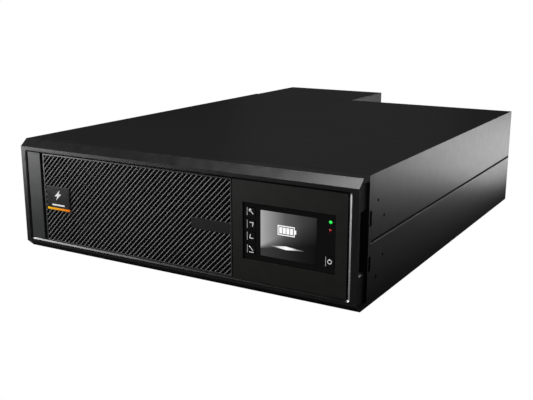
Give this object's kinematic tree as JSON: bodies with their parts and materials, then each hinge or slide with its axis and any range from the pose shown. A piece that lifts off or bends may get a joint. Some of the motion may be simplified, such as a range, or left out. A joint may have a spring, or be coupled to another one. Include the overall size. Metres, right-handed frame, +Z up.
{
  "type": "uninterruptible power supply",
  "caption": "Rack or tower uninterruptible power supply: steel chassis, pull-off bezel with grille, screen and keys, battery bay, rear fans, and a rear box with breakers and outlets.",
  "frame": {"origin": "on the floor, under the middle of the bounding box", "axes": "+X to the right of someone facing the display, +Y from the front face towards the rear power box, +Z up"},
  "size_m": [0.43, 0.672, 0.13],
  "materials": {
    "bezel_plastic": "satin",
    "trim_gloss": "gloss",
    "strip_grey": "satin",
    "grille_grey": "satin",
    "panel_plastic": "matt",
    "badge_black": "gloss",
    "badge_orange": "gloss",
    "display_gloss": "gloss",
    "key_black": "satin",
    "screen": "gloss",
    "run_green": "lit",
    "fault_red": "satin",
    "housing_plastic": "matt",
    "circuit_board": "solder mask",
    "chassis_paint": "fine powder coat",
    "zinc_sheet": "zinc plate",
    "bright_steel": "bright plate",
    "battery_case": "matt",
    "heatsink_aluminium": "extruded",
    "capacitor_sleeve": "sleeved",
    "copper_winding": "enamelled wire",
    "fan_black": "satin",
    "socket_black": "satin",
    "breaker_grey": "satin",
    "toggle_black": "satin"
  },
  "bodies": {
    "chassis": {"display_fascia": "display_gloss", "lcd_screen": "screen", "run_led": "run_green", "fault_led": "fault_red", "display_housing": "housing_plastic", "display_board": "circuit_board", "power_board": "circuit_board", "control_board": "circuit_board", "front_frame": "chassis_paint", "base_tray": "chassis_paint", "top_cover": "chassis_paint", "rear_panel": "chassis_paint", "battery_door": "chassis_paint", "card_slot_cover": "chassis_paint", "power_box": "chassis_paint", "power_box_lid": "chassis_paint", "terminal_cover": "chassis_paint", "divider_wall": "zinc_sheet", "battery_tray": "zinc_sheet", "door_screw_left": "bright_steel", "door_screw_right": "bright_steel", "fan_guard_1": "bright_steel", "fan_guard_2": "bright_steel", "network_port": "bright_steel", "battery_block_1": "battery_case", "battery_block_2": "battery_case", "battery_block_3": "battery_case", "battery_block_4": "battery_case", "heatsink_left": "heatsink_aluminium", "heatsink_right": "heatsink_aluminium", "capacitor_1": "capacitor_sleeve", "capacitor_2": "capacitor_sleeve", "output_choke": "copper_winding", "fan_frame_1": "fan_black", "fan_frame_2": "fan_black", "wide_outlet": "socket_black", "outlet_strip": "socket_black", "battery_port": "socket_black", "cable_gland_1": "socket_black", "cable_gland_2": "socket_black", "input_breaker": "breaker_grey", "bypass_breaker": "breaker_grey"},
    "bezel": {"bezel_frame": "bezel_plastic", "trim_ring": "trim_gloss", "side_strip": "strip_grey", "grille_panel": "grille_grey", "display_panel": "panel_plastic", "badge_plate": "badge_black", "badge_stripe": "badge_orange", "bezel_catch_left": "bezel_plastic", "bezel_catch_right": "bezel_plastic"},
    "escape_key": {"key_escape": "key_black"},
    "up_key": {"key_up": "key_black"},
    "down_key": {"key_down": "key_black"},
    "enter_key": {"key_enter": "key_black"},
    "power_button": {"power_key": "key_black"},
    "fan_1": {"fan_rotor_1": "fan_black"},
    "fan_2": {"fan_rotor_2": "fan_black"},
    "input_toggle": {"input_breaker_toggle": "toggle_black"},
    "bypass_toggle": {"bypass_breaker_toggle": "toggle_black"}
  },
  "joints": [
    {"name": "bezel_pull", "type": "slide", "parent": "chassis", "child": "bezel", "axis": [0, -1, 0], "range_m": [0, 0.08]},
    {"name": "escape_key_press", "type": "slide", "parent": "chassis", "child": "escape_key", "axis": [0, 1, 0], "range_m": [0, 0.0008], "stiffness_N_per_m": 500, "springref_m": -0.0004},
    {"name": "up_key_press", "type": "slide", "parent": "chassis", "child": "up_key", "axis": [0, 1, 0], "range_m": [0, 0.0008], "stiffness_N_per_m": 500, "springref_m": -0.0004},
    {"name": "down_key_press", "type": "slide", "parent": "chassis", "child": "down_key", "axis": [0, 1, 0], "range_m": [0, 0.0008], "stiffness_N_per_m": 500, "springref_m": -0.0004},
    {"name": "enter_key_press", "type": "slide", "parent": "chassis", "child": "enter_key", "axis": [0, 1, 0], "range_m": [0, 0.0008], "stiffness_N_per_m": 500, "springref_m": -0.0004},
    {"name": "power_button_press", "type": "slide", "parent": "chassis", "child": "power_button", "axis": [0, 1, 0], "range_m": [0, 0.0008], "stiffness_N_per_m": 500, "springref_m": -0.0004},
    {"name": "fan_1_spin", "type": "hinge", "parent": "chassis", "child": "fan_1", "pos_m": [0.168, 0.18, 0.066], "axis": [0, 1, 0], "continuous": true},
    {"name": "fan_2_spin", "type": "hinge", "parent": "chassis", "child": "fan_2", "pos_m": [0.086, 0.18, 0.066], "axis": [0, 1, 0], "continuous": true},
    {"name": "input_toggle_throw", "type": "hinge", "parent": "chassis", "child": "input_toggle", "pos_m": [-0.178, 0.31, 0.098], "axis": [1, 0, 0], "range_deg": [-60, 0]},
    {"name": "bypass_toggle_throw", "type": "hinge", "parent": "chassis", "child": "bypass_toggle", "pos_m": [-0.136, 0.31, 0.098], "axis": [1, 0, 0], "range_deg": [-60, 0]}
  ]
}
